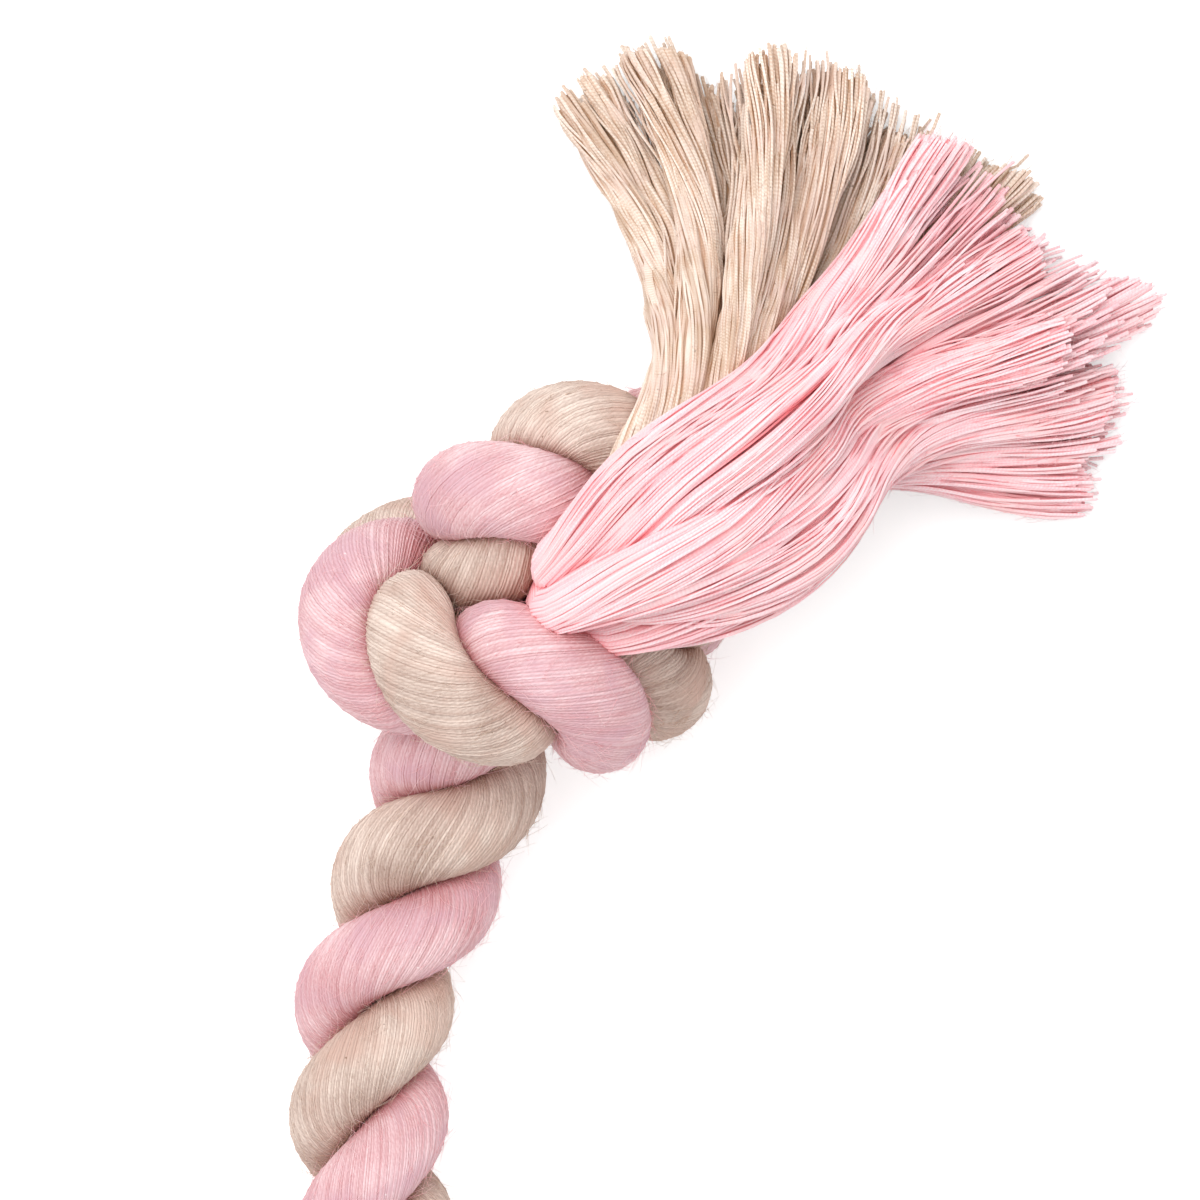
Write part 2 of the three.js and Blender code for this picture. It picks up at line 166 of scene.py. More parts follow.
# Look of the tassels: the cut yarns of each lock
YARN_RADIUS = 0.00023
YARN_SIDES = 4
YARN_SIZES = (0.85, 1.15)
YARN_SWELL = 0.18
YARN_SWELL_POINTS = 4
YARN_MAP_END = 0.999
YARN_TIP_SHARE = 1.25
YARN_TIP_RUN = (0.93, 1)
CREAM_YARN_COUNT = 300
PINK_YARN_COUNT = 330
YARN_POINTS = 38
ROOT_POINTS = 7
ROOT_RUN = 0.010
ROOT_SPREAD = 0.0040
ROOT_SECTION = 0.0044
ROOT_DEPTH_SHARE = 0.84
ROOT_RISE_SHARE = 0.18
OPENING_SHARE = 0.22
SECTION_POWER = 0.36
INNER_SWELLING = 2.1
FILLED_RUN = (0.1, 0.25)
THINNED_RUN = (0.75, 0.92)
SOFTENING = 0.5
OPEN_ABOVE = 1.6
RING_START = (0.31, 0.17, 0.93)

# Where along its lock a yarn begins and ends, as shares of the lock's length
YARN_START = 0.02
YARN_REACH = 1.02
SHORT_REACHES = (0.86, 1)
STRAY_EXTRAS = (0.02, 0.08)

# How far the loose yarns lean to the next lock, and where a yarn's sinking, swinging and so on set in
LEAN_SHARES = (0.1, 1)
LOOSE_SPREAD = 1.2
STRAY_SWING = 3
SINK_RUN = (0.15, 0.5)
SWING_RUN = (0.05, 0.5)
FRAY_RUN = (0.7, 1)
SWAY_RUN = (0.1, 0.4)
FLATTEN_RUN = (0.4, 1)

# The hanks that a lock's yarns keep together in, in its section of radius 1
HANK_COUNT = 4
HANK_PLACE = 0.58
HANK_GATHER = 0.8
HANK_WAVE_POINTS = 11

# How each colour's yarns lie. Raggedness and slant are shares of the lock's length, the twist is in turns,
# wobble, hank sway, sink and section radii are in metres, and the runs are shares of the way to the tip
CREAM_LOOK = {
    "raggedness": 0.008, "short_share": 0.16, "stray_share": 0.010, "loose_share": 0.3, "twist": -0.75,
    "wobble": 0.00040, "fray": 0.8, "flatness": 0.1, "wave_points": 4, "slant": 0.025,
    "hank_sway": 0.0010, "lean_run": (0.2, 0.8), "sink": 0.004, "inner_share": 0.62,
    "section_at": (0, 0.2, 0.5, 0.8, 1), "section_radii": (0.0028, 0.0030, 0.0031, 0.0036, 0.0050),
}
PINK_LOOK = {
    "raggedness": 0.008, "short_share": 0.16, "stray_share": 0.008, "loose_share": 0.4, "twist": -0.45,
    "wobble": 0.00036, "fray": 0.8, "flatness": 0.1, "wave_points": 5, "slant": 0.03,
    "hank_sway": 0.0009, "lean_run": (0.02, 0.55), "sink": 0.0015, "inner_share": 0.74,
    "section_at": (0, 0.1, 0.25, 0.5, 0.8, 1),
    "section_radii": (0.0044, 0.0054, 0.0054, 0.0042, 0.0042, 0.0050),
}

# Loose fibres that stand off the yarns
FIBRE_RADIUS = 0.000034
FIBRE_SIDES = 3
FIBRE_POINTS = 4
FIBRE_LENGTHS = (0.0012, 0.0050)
FIBRE_LIFTS = (0.05, 0.6)
FIBRE_SLOWING = 0.2
FIBRE_DROOP = 0.35
FIBRE_CURL = 0.6
FIBRE_TIP_SHARE = 0.5
FIBRE_MAP_RUN = (0.3, 0.7)
STRAND_FIBRE_COUNT = 8000
TASSEL_FIBRE_COUNT = 9000
TIP_FUZZ_POWER = 0.25

# Patterns of the cotton's colour, then how much each adds to the tone and what makes a stain or speck
RUNS = {"scale": 1.0, "detail": 2.0, "distortion": 0.0}
PATCHES = {"scale": 70.0, "detail": 3.0, "distortion": 0.0}
GRAIN = {"scale": 2400.0, "detail": 1.0, "distortion": 0.0}
STAINS = {"scale": 110.0, "detail": 2.0, "distortion": 0.6}
SPECKS = {"scale": 1500.0, "detail": 0.0, "distortion": 0.0}
RUNS_PER_METRE = 160.0
ROW_STEP = 17.3
PLIES_PER_METRE = 1400.0
RUN_SHARE = 0.5
PATCH_SHARE = 1.2
GRAIN_SHARE = 0.4
TONE_RANGE = (0.95, 1.65)
STAIN_RANGE = (0.45, 0.7)
STAIN_SHARE = 0.8
SPECK_RANGE = (0.83, 0.88)
SPECK_SHARE = 0.7

# Where the painted shade in the groove between two yarns begins and ends, and how open the surface is where
# it counts as closed in and takes the painted shade colour
GROOVE_SHADE_RANGE = (0.25, 0.5)
PAINTED_SHADE_RANGE = (0.05, 0.6)
OPENNESS_SAMPLES = 4

# Relief of the plies, and the gloss of the cotton
PLY_STRENGTH = 0.3
PLY_DEPTH = 0.00006
ROUGHNESS = 0.88
SPECULAR = 0.2
SHEEN = 0.25
SHEEN_ROUGHNESS = 0.45

# Colours of the cotton as they show on a screen, of 255. The hidden colour is painted shade where the
# cotton is closed in, and the deep colour, the darker end of the yarns' tone, is also painted into the
# grooves between yarns as shade
PINK_STRAND_COLOURS = {
    "light": (244, 216, 219), "deep": (204, 150, 154), "tint": (212, 170, 181),
    "hidden": (196, 114, 114), "fleck": (252, 240, 240),
}
CREAM_STRAND_COLOURS = {
    "light": (237, 219, 207), "deep": (172, 146, 134), "tint": (208, 175, 161),
    "hidden": (156, 108, 92), "fleck": (130, 100, 80),
}
PINK_YARN_COLOURS = {
    "light": (255, 230, 233), "deep": (255, 200, 206), "tint": (255, 216, 216),
    "hidden": (255, 146, 152), "fleck": (252, 240, 240),
}
CREAM_YARN_COLOURS = {
    "light": (250, 236, 224), "deep": (212, 184, 162), "tint": (232, 208, 196),
    "hidden": (198, 146, 102), "fleck": (130, 100, 80),
}

# How dark the painted shade in the grooves between yarns is, how unlike the yarns' tones, how strong the
# plies' painted shade shows, and within what reach the cotton counts as closed in and takes the painted
# shade colour
STRAND_COTTON = {"painted_groove_shade": 0.4, "unlike": 0.3, "ply_shade_share": 0.07, "reach": 0.008}
YARN_COTTON = {"painted_groove_shade": 0, "unlike": 0.6, "ply_shade_share": 0.16, "reach": 0.003}

# The photograph: its side and scale, and the place in it of the toy's middle
PHOTO_SIDE_PX = 1200
PHOTO_PX_PER_M = 6400
PHOTO_ORIGIN_PX = (380, 1290)

# Camera, floor and light
CAMERA_HEIGHT = 2.4
FOCUS_HEIGHT = 0.035
SENSOR_WIDTH = 36
FLOOR_REACH = 3.0
FLOOR_COLOUR = (0.9, 0.9, 0.9, 1)
FLOOR_LIFT = 0.44
SKY_STRENGTH = 0.8
WINDOW_PLACE = (-0.4, 0.6, 2.1)
WINDOW_AIM = (0.03, 0.1, 0)
WINDOW_SIDE = 1.4
WINDOW_POWER = 31

GOLDEN_ANGLE = math.pi * (3 - math.sqrt(5))
UP = np.array([0.0, 0.0, 1.0])
HALF_TURN = np.array([-1.0, -1.0, 1.0])


def smoothstep(x, low, high):
    t = np.clip((x - low) / (high - low), 0, 1)
    return t * t * (3 - 2 * t)


def arc_length(points):
    return np.concatenate([[0], np.cumsum(np.linalg.norm(np.diff(points, axis=0), axis=1))])


def sample(values, places):
    """Values between the rows of a list, at fractional places, and straight on past its end."""
    low = np.clip(places.astype(int), 0, len(values) - 2)
    t = (places - low)[..., None]
    return values[low] * (1 - t) + values[low + 1] * t


def curve_at(corners, places):
    """Points of the centripetal curve through the corners, at places counted in legs."""
    ends = np.vstack([2 * corners[0] - corners[1], corners, 2 * corners[-1] - corners[-2]])
    leg = np.minimum(places.astype(int), len(corners) - 2)
    t = (places - leg)[:, None]
    before, start, end, after = (ends[leg + k] for k in range(4))
    d0, d1, d2 = (np.sqrt(np.linalg.norm(b - a, axis=1, keepdims=True))
                  for a, b in ((before, start), (start, end), (end, after)))
    leave = ((start - before) / d0 - (end - before) / (d0 + d1) + (end - start) / d1) * d1
    arrive = ((end - start) / d1 - (after - start) / (d1 + d2) + (after - end) / d2) * d1
    square = -3 * start + 3 * end - 2 * leave - arrive
    cube = 2 * start - 2 * end + leave + arrive
    return start + t * leave + t ** 2 * square + t ** 3 * cube


def walk(corners, step):
    """Points at equal steps along the smooth curve through the corners, and their places on it."""
    fine = np.linspace(0, len(corners) - 1, CURVE_DIVISIONS)
    along = arc_length(curve_at(corners, fine))
    count = round(along[-1] / step)
    places = np.interp(np.linspace(0, along[-1], count + 1), along, fine)
    return curve_at(corners, places), places


def tangents_of(points):
    steps = np.gradient(points, axis=-2)
    return steps / np.linalg.norm(steps, axis=-1, keepdims=True)


def carried_normals(tangents, first):
    """One direction square to each tangent, carried along each path without twist."""
    normals = np.empty_like(tangents)
    carried = np.array(first, float)
    for i in range(tangents.shape[-2]):
        tangent = tangents[..., i, :]
        carried = carried - (carried * tangent).sum(-1, keepdims=True) * tangent
        carried = carried / np.linalg.norm(carried, axis=-1, keepdims=True)
        normals[..., i, :] = carried
    return normals


def smooth_noise(rng, columns, rows, step):
    """Random values per column that vary smoothly from row to row, within 1 about 0."""
    knots = rng.uniform(-1, 1, (math.ceil(rows / step) + 2, columns))
    places = np.arange(rows) / step
    t = places - places.astype(int)
    return sample(knots, places.astype(int) + t * t * (3 - 2 * t))


# Paths of the rope's strands and of the tassels' locks

def rope_route():
    """The half rope from the toy's middle to the tail past the knot, with its turns of lay."""
    stretch_turns = round(2 * HALF_SPAN / LAY_LENGTH) / 2
    stretch = [(side * SIDE_SWAY, on * HALF_SPAN, ROPE_HEIGHT, on * stretch_turns)
               for side, on in STRETCH_SHARES]
    knot = [(SIDE_SWAY + x * ROPE_DIAMETER, HALF_SPAN + y * ROPE_DIAMETER, z * ROPE_DIAMETER,
             stretch_turns + turns) for x, y, z, turns in KNOT_ROUTE_SHARES]
    return np.array(stretch + knot)


def squeezed(along, free, tight):
    """A size that passes from its free value to its tight one about the knot's mouth."""
    share = smoothstep(along, HALF_SPAN - SQUEEZE_RUN / 2, HALF_SPAN + SQUEEZE_RUN / 2)
    return free + (tight - free) * share


def lay_strands():
    """The two strands of the half rope, wound right-handed round its middle line."""
    route = rope_route()
    line, places = walk(route[:, :3], WALK_STEP)
    turns = np.interp(places, np.arange(len(route)), route[:, 3])
    tangents = tangents_of(line)
    normals = carried_normals(tangents, UP)
    across = np.cross(tangents, normals)
    along = np.arange(len(line)) * WALK_STEP
    radii = squeezed(along, CORE_RADIUS, KNOT_CORE_RADIUS)
    angle = 2 * np.pi * turns[:, None]
    away = normals * np.cos(angle) + across * np.sin(angle)
    offset = away * (radii[:, None] + SOFT_GAP / 2)
    return [{"points": line + sign * offset, "radii": radii, "own_reach": OWN_REACH,
             "held": math.ceil(BEND_LENGTH / WALK_STEP)} for sign in (-1, 1)]


def near_pairs(nodes, points):
    """Every two points of the paths that may come to press on each other, and their room."""
    first, second = np.triu_indices(len(points), 1)
    apart = np.linalg.norm(points[first] - points[second], axis=1)
    room = nodes["radius"][first] + nodes["radius"][second] + SOFT_GAP
    steps = np.abs(nodes["index"][first] - nodes["index"][second])
    neighbours = (nodes["owner"][first] == nodes["owner"][second]) & (
        steps * WALK_STEP < nodes["own_reach"][first])
    still = nodes["fixed"][first] & nodes["fixed"][second]
    keep = (apart < room + PAIR_MARGIN) & ~neighbours & ~still
    return first[keep], second[keep], room[keep]


def push_apart(nodes, points, pairs):
    """Moves each point away from those that it presses on, and up from the floor."""
    first, second, room = pairs
    apart = points[first] - points[second]
    distance = np.linalg.norm(apart, axis=1)
    lack = np.maximum(room - distance, 0)
    push = apart * (lack * lack / np.maximum(distance, CLEARANCE))[:, None]
    count = len(points)
    total = np.stack([np.bincount(first, push[:, k], count) - np.bincount(second, push[:, k], count)
                      for k in range(3)], axis=1)
    weight = np.bincount(first, lack, count) + np.bincount(second, lack, count)
    moved = ~nodes["fixed"] & (weight > 0)
    points[moved] += total[moved] * PUSH_SHARE / weight[moved, None]
    free = ~nodes["fixed"]
    floor = nodes["radius"][free] * (1 - FOOT_CUT_SHARE)
    points[free, 2] = np.maximum(points[free, 2], floor)


def ease(points, home, held):
    """Moves each point's shift from home towards the mean shift of its two neighbours."""
    shift = points - home
    mean = (shift[held - 1:-2] + shift[held + 1:]) / 2
    points[held:-1] = home[held:-1] + shift[held:-1] * (1 - EASE_SHARE) + mean * EASE_SHARE


def settle(paths):
    """Pushes the paths' points apart until each pair has its room, easing every path as it goes."""
    points = np.vstack([path["points"] for path in paths])
    home = points.copy()
    sizes = [len(path["points"]) for path in paths]
    starts = np.concatenate([[0], np.cumsum(sizes)])
    index = np.concatenate([np.arange(size) for size in sizes])
    nodes = {
        "radius": np.concatenate([path["radii"] for path in paths]),
        "owner": np.repeat(np.arange(len(paths)), sizes),
        "index": index,
        "own_reach": np.repeat([path["own_reach"] for path in paths], sizes),
        "fixed": index < np.repeat([path["held"] for path in paths], sizes),
    }
    for turn in range(SETTLE_ROUNDS):
        if turn % PAIR_REFRESH == 0:
            pairs = near_pairs(nodes, points)
        push_apart(nodes, points, pairs)
        for k, path in enumerate(paths):
            if path["held"] < sizes[k]:
                part = slice(starts[k], starts[k + 1])
                ease(points[part], home[part], path["held"])
    for k, path in enumerate(paths):
        path["points"] = points[starts[k]:starts[k + 1]]


def root_places(count):
    """Places across the end of a strand: one in the middle, the rest in a ring round it."""
    spacing = 2 * LOCK_ROOT_RADIUS + 2 * CLEARANCE
    angles = 2 * np.pi * np.arange(count - 1) / (count - 1)
    ring = spacing * np.stack([np.cos(angles), np.sin(angles)], axis=1)
    return np.vstack([[0, 0], ring])


def share_out_roots(rows, end, along):
    """Gives each lock the free root place nearest to its own direction."""
    normal = carried_normals(along[None], (1, 0, 0))[0]
    across = np.cross(along, normal)
    free = [end + normal * x + across * y for x, y in root_places(len(rows))]
    roots = []
    for degrees, *_ in rows:
        angle = math.radians(degrees)
        way = np.array([-math.sin(angle), math.cos(angle), 0])
        best = max(range(len(free)), key=lambda k: free[k] @ way)
        roots.append(free.pop(best))
    return roots


def lock_path(row, root, along, reach, crest_degrees, fall_degrees, widening_shares):
    """A lock rises from the strand's end, bends over the knot's shoulder and falls to the floor."""
    degrees, reach_share, crest_share, tip_share = row

    def in_plan(turn, distance, height):
        angle = math.radians(turn)
        return (root[0] + distance * math.cos(angle), root[1] + distance * math.sin(angle), height)

    far = reach * reach_share
    crest_height = CREST_HEIGHT * crest_share
    tip_height = LOCK_TIP_RADIUS * tip_share
    fall_height = (crest_height + tip_height) / 2 * FALL_HEIGHT_SHARE
    corners = np.array([
        root + along * CLEARANCE,
        root + along * LOCK_RISE,
        in_plan(crest_degrees, CREST_REACH, crest_height),
        in_plan(fall_degrees, (CREST_REACH + far) / 2, fall_height),
        in_plan(degrees, far, tip_height),
    ])
    points, _ = walk(corners, WALK_STEP)
    t = np.linspace(0, 1, len(points))
    widening = smoothstep(t, *widening_shares)
    body = LOCK_ROOT_RADIUS + (LOCK_BODY_RADIUS - LOCK_ROOT_RADIUS) * widening
    radii = body + (LOCK_TIP_RADIUS - body) * t * t
    return {"points": points, "radii": radii, "held": LOCK_HELD_COUNT, "own_reach": math.inf}


def lay_tassel(rows, strand, reach, neck, fall, widening_shares):
    """The locks of one strand, gathered past the knot's shoulder and fanned out from there."""
    end = strand["points"][-1]
    along = end - strand["points"][-2]
    along = along / np.linalg.norm(along)
    mean_degrees = sum(row[0] for row in rows) / len(rows)
    roots = share_out_roots(rows, end, along)
    locks = []
    for row, root in zip(rows, roots):
        crest_degrees = neck["degrees"] + (row[0] - mean_degrees) * neck["spread"]
        fall_degrees = fall["degrees"] + (row[0] - mean_degrees) * fall["spread"]
        locks.append(lock_path(row, root, along, reach, crest_degrees, fall_degrees, widening_shares))
    return locks


def swollen(strand):
    """A settled strand at its full radius, which no longer moves."""
    along = np.arange(len(strand["points"])) * WALK_STEP
    return {**strand, "radii": squeezed(along, STRAND_RADIUS, KNOT_STRAND_RADIUS),
            "held": len(strand["points"])}


# Surface of the strands

def whole(half):
    """A list of points from the middle outwards, with the same turned half round before it."""
    return np.vstack([half[:0:-1] * HALF_TURN, half])


def free_reach(ways, centre, bend, own, others, place):
    """How far one can go each way from a point of a strand, up to what presses on it there."""
    turn = ways @ bend
    reach = np.where(turn > 1, BEND_LIMIT_SHARE / np.maximum(turn, 1), np.inf)
    steps = np.abs(np.arange(len(own)) * WALK_STEP - place)
    apart = np.vstack([own[steps > OWN_REACH], others]) - centre
    distance = np.linalg.norm(apart, axis=1)
    near = distance < 2 * KNOT_SWELL_RADIUS + SOFT_GAP
    if near.any():
        facing = ways @ apart[near].T
        room = distance[near] ** 2 / 2 - CREASE_GAP * distance[near]
        limit = np.where(facing > CREASE_GAP, room / np.maximum(facing, CREASE_GAP), np.inf)
        reach = np.minimum(reach, limit.min(axis=1))
    return reach


def pressed_radius(rings, ways, target, own, others):
    """How far the strand's side lies from its middle line, each way from each ring's centre."""
    bend = np.gradient(tangents_of(rings), RING_STEP, axis=0)
    reach = np.array([free_reach(ways[i], rings[i], bend[i], own, others, i * RING_STEP)
                      for i in range(len(rings))])
    # A rounded corner where the free surface meets the pressed side
    target = target[:, None]
    nearness = 1 - np.minimum(np.abs(reach - target) / CREASE_ROUNDING, 1)
    return np.minimum(reach, target) - CREASE_ROUNDING / 4 * nearness ** 2


def blurred(radius, rounds):
    for _ in range(rounds):
        radius[1:-1] = (radius[:-2] + 2 * radius[1:-1] + radius[2:]) / 4
        radius = (np.roll(radius, 1, 1) + 2 * radius + np.roll(radius, -1, 1)) / 4
    return radius


def strand_frames(strand):
    """A whole strand's middle line, tip to tip, with its two directions across at each ring."""
    half_rings, _ = walk(strand["points"], RING_STEP)
    rings = whole(half_rings)
    middle = len(half_rings) - 1
    tangents = tangents_of(rings)
    onward = carried_normals(tangents[middle:], UP)
    back = carried_normals(tangents[middle::-1], UP)
    normals = np.vstack([back[:0:-1], onward])
    return {"rings": rings, "middle": middle, "along": (np.arange(len(rings)) - middle) * RING_STEP,
            "normals": normals, "across": np.cross(tangents, normals)}


def strand_surface(strand, other, seed):
    """The rings of points of a whole strand's surface, tip to tip, with its yarns as ridges."""
    frames = strand_frames(strand)
    rings = frames["rings"]
    from_middle = np.abs(frames["along"])
    rng = np.random.default_rng(seed)
    run = DRIFT_RUN / RING_STEP
    drift, uneven = (smooth_noise(rng, STRAND_YARNS, len(rings), step).repeat(POINTS_PER_YARN, axis=1)
                     for step in (run, run / 2))

    # The yarns wind round the strand
    twisted = np.cumsum(squeezed(from_middle, FREE_YARN_TWIST, KNOT_YARN_TWIST)) * RING_STEP
    twisted -= twisted[frames["middle"]]
    columns = STRAND_YARNS * POINTS_PER_YARN
    angles = (np.arange(columns) + YARN_DRIFT * POINTS_PER_YARN * drift) * 2 * np.pi / columns
    angles = angles - twisted[:, None]
    ways = (frames["normals"][:, None] * np.cos(angles)[..., None]
            + frames["across"][:, None] * np.sin(angles)[..., None])

    # Pressed flat by its neighbours, with the yarns' ridges on it
    target = squeezed(from_middle, FREE_SWELL_RADIUS, KNOT_SWELL_RADIUS)
    smooth = blurred(pressed_radius(rings, ways, target, whole(strand["points"]),
                                    whole(other["points"])), BLUR_ROUNDS)
    taper = smoothstep(from_middle, from_middle[-1] - END_TAPER_RUN, from_middle[-1])
    ridges = np.tile(RIDGE_PROFILE, STRAND_YARNS) * RIDGE_HEIGHT
    radius = (smooth + ridges + uneven * YARN_UNEVENNESS) * (1 - END_TAPER_SHARE * taper[:, None])
    surface = rings[:, None] + ways * radius[..., None]
    surface[..., 2] = np.maximum(surface[..., 2], 0)
    return {**frames, "surface": surface, "angles": angles, "smooth": smooth, "twisted": twisted}


# Yarns of the tassels

def section(count, turn):
    """Places in a round section of radius 1, closer together near its rim, as angle and distance."""
    k = np.arange(count)
    return k * GOLDEN_ANGLE + turn, ((k + 0.5) / count) ** SECTION_POWER


def hank_places(turn, share):
    """Places in a lock's section drawn together into its hanks, and the hank that each is in."""
    hank = (turn % (2 * np.pi) / (2 * np.pi) * HANK_COUNT).astype(int)
    middle = (hank + 0.5) * 2 * np.pi / HANK_COUNT
    place = np.stack([np.cos(turn) * share, np.sin(turn) * share])
    centre = HANK_PLACE * np.stack([np.cos(middle), np.sin(middle)])
    return centre + (place - centre) * HANK_GATHER, hank


def root_lines(strand, disc_angle, disc_share):
    """The yarns' last run inside the strand, which comes up through its surface at the end."""
    last = len(strand["rings"]) - 1
    run = int(ROOT_RUN / RING_STEP)
    picks = np.linspace(last - run, last, ROOT_POINTS).round().astype(int)
    lines = np.empty((len(disc_angle), ROOT_POINTS, 3))
    for column, i in enumerate(picks):
        angle = disc_angle - (strand["twisted"][i] - strand["twisted"][last])
        start = strand["angles"][i, 0]
        turn = (angle - start) % (2 * np.pi)
        round_ring = np.append(strand["angles"][i] - start, 2 * np.pi)
        radius = np.append(strand["smooth"][i], strand["smooth"][i, 0])
        rise = ROOT_DEPTH_SHARE + ROOT_RISE_SHARE * column / (ROOT_POINTS - 1)
        reach = np.interp(turn, round_ring, radius) * disc_share * rise
        lines[:, column] = (strand["rings"][i] + strand["normals"][i] * (np.cos(angle) * reach)[:, None]
                            + strand["across"][i] * (np.sin(angle) * reach)[:, None])
    return lines


def root_places_in(strand, lock, turn, share):
    """Where each yarn of a lock is in the strand's end, as angle and share of its radius."""
    root = lock["points"][0] - strand["rings"][-1]
    centre = np.array([root @ strand["normals"][-1], root @ strand["across"][-1]])
    centre = centre * ROOT_SPREAD / (2 * LOCK_ROOT_RADIUS + 2 * CLEARANCE)
    x = centre[0] + np.cos(turn) * share * ROOT_SECTION
    y = centre[1] + np.sin(turn) * share * ROOT_SECTION
    return np.arctan2(y, x), np.hypot(x, y) / (ROOT_SPREAD + ROOT_SECTION)


def yarn_reaches(look, turn, share, rng):
    """How far along its lock each yarn reaches, and which yarns stray past its tip."""
    count = len(turn)
    reach = YARN_REACH - np.abs(rng.normal(0, look["raggedness"], count))
    short = rng.uniform(size=count) < look["short_share"]
    reach = np.where(short, rng.uniform(*SHORT_REACHES, count), reach)
    reach = reach + look["slant"] * share * np.cos(turn - rng.uniform(0, 2 * np.pi))
    stray = rng.uniform(size=count) < look["stray_share"]
    return np.where(stray, 1 + rng.uniform(*STRAY_EXTRAS, count), reach), stray


def yarn_middles(lock, neighbour, look, t, rng):
    """The line that each yarn keeps to: the lock's own, and for a loose yarn one nearer its neighbour's."""
    line = sample(lock["points"], t * (len(lock["points"]) - 1))
    loose = rng.uniform(size=len(t)) < look["loose_share"]
    beside = sample(neighbour["points"], t * (len(neighbour["points"]) - 1))
    lean = np.where(loose, rng.uniform(*LEAN_SHARES, len(t)), 0)[:, None]
    lean = lean * smoothstep(t, *look["lean_run"])
    line = line + (beside - line) * lean[..., None]
    line[..., 2] -= look["sink"] * loose[:, None] * smoothstep(t, *SINK_RUN)
    return line, loose


def yarn_offsets(look, places, hank, t, stray, rng):
    """How far each yarn lies from its lock's middle line, two ways, as it turns, swings and sways."""
    x, y = places
    spin = 2 * np.pi * look["twist"] * t
    wobble = [smooth_noise(rng, *t.shape, look["wave_points"]).T for _ in range(2)]
    fray = 1 + look["fray"] * smoothstep(t, *FRAY_RUN)
    swing = look["wobble"] * smoothstep(t, *SWING_RUN) * fray
    swing = swing * np.where(stray, STRAY_SWING, 1)[:, None]
    sway = [smooth_noise(rng, HANK_COUNT, YARN_POINTS, HANK_WAVE_POINTS).T[hank] for _ in range(2)]
    reach_out = look["hank_sway"] * smoothstep(t, *SWAY_RUN)
    return (x * np.cos(spin) - y * np.sin(spin) + wobble[0] * swing + sway[0] * reach_out,
            x * np.sin(spin) + y * np.cos(spin) + wobble[1] * swing + sway[1] * reach_out)


def lock_yarns(lock, neighbour, strand, look, count, rng):
    """The yarns of one lock as lines of points: out of the strand, into the lock and to its tip."""
    turn, share = section(count, rng.uniform(0, 2 * np.pi))
    hidden = root_lines(strand, *root_places_in(strand, lock, turn, share))
    start = hidden[:, -1] - lock["points"][0]
    reach, stray = yarn_reaches(look, turn, share, rng)
    t = np.linspace(YARN_START, 1, YARN_POINTS)[None] * reach[:, None]
    tangents = tangents_of(lock["points"])
    normals = carried_normals(tangents, strand["normals"][-1])
    sides = np.cross(tangents, normals)
    places = t * (len(tangents) - 1)
    n, s = sample(normals, places), sample(sides, places)
    line, loose = yarn_middles(lock, neighbour, look, t, rng)

    # The place in the strand's end gives way to the place in the lock's own section
    opening = smoothstep(t, 0, OPENING_SHARE)[..., None]
    radius = np.interp(t, look["section_at"], look["section_radii"])
    radius = radius * np.where(loose, LOOSE_SPREAD, 1)[:, None]
    (x, y), hank = hank_places(turn, share)
    x, y = yarn_offsets(look, (x[:, None] * radius, y[:, None] * radius), hank, t, stray, rng)
    away = n * x[..., None] + s * y[..., None]
    away[..., 2] *= 1 - look["flatness"] * smoothstep(t, *FLATTEN_RUN)
    first = np.stack([start @ normals[0], start @ sides[0]], axis=1)
    carried = n * first[:, :1, None] + s * first[:, 1:, None]
    lines = line + carried * (1 - opening) + away * opening
    lines[..., 2] = np.maximum(lines[..., 2], YARN_RADIUS)
    return np.concatenate([hidden, lines], axis=1), hank


def tip_widening(rows):
    """How much thicker a yarn gets towards its cut end, where it opens."""
    return 1 + (YARN_TIP_SHARE - 1) * smoothstep(np.linspace(0, 1, rows), *YARN_TIP_RUN)


def inner_swelling(count, rows, inner_share):
    """How much thicker the hidden yarns inside a lock are, so that they fill it up to near its tip."""
    inner = section(count, 0)[1] < inner_share
    onward = np.linspace(0, 1, rows)
    filled = smoothstep(onward, *FILLED_RUN) * (1 - smoothstep(onward, *THINNED_RUN))
    return 1 + INNER_SWELLING * inner[:, None] * filled


def yarn_thickness(count, rows, look, rng):
    """The radius of each yarn of a lock from point to point."""
    swell = smooth_noise(rng, count, rows, YARN_SWELL_POINTS).T
    radius = YARN_RADIUS * rng.uniform(*YARN_SIZES, (count, 1)) * (1 + YARN_SWELL * swell)
    radius = radius * inner_swelling(count, rows, look["inner_share"])
    return radius * tip_widening(rows)


def lengths_along(lines):
    """The way along each line to each of its points."""
    steps = np.linalg.norm(np.diff(lines, axis=1), axis=2)
    return np.concatenate([np.zeros((len(lines), 1)), np.cumsum(steps, axis=1)], axis=1)


def ways_round(lines, sides):
    """The directions from each point of many lines to the points of the ring round it."""
    tangents = tangents_of(lines)
    normals = carried_normals(tangents, np.broadcast_to(RING_START, lines[:, 0].shape))
    across = np.cross(tangents, normals)
    angle = 2 * np.pi * np.arange(sides) / sides
    return normals[:, :, None] * np.cos(angle)[:, None] + across[:, :, None] * np.sin(angle)[:, None]


def tube_rings(lines, ways, radius):
    return lines[:, :, None] + ways * radius[..., None, None]


def softened(ways, lines, hank):
    """Directions in which the yarns' sides are lit, turned up and to the outside of their hank."""
    middle = np.stack([lines[hank == k].mean(axis=0) for k in range(HANK_COUNT)])[hank]
    away = 2 * lines - middle - lines.mean(axis=0)
    away = away / np.linalg.norm(away, axis=-1, keepdims=True) + UP * OPEN_ABOVE
    away = away / np.linalg.norm(away, axis=-1, keepdims=True)
    lit = ways * (1 - SOFTENING) + away[:, :, None] * SOFTENING
    return lit / np.linalg.norm(lit, axis=-1, keepdims=True)


# Fuzz

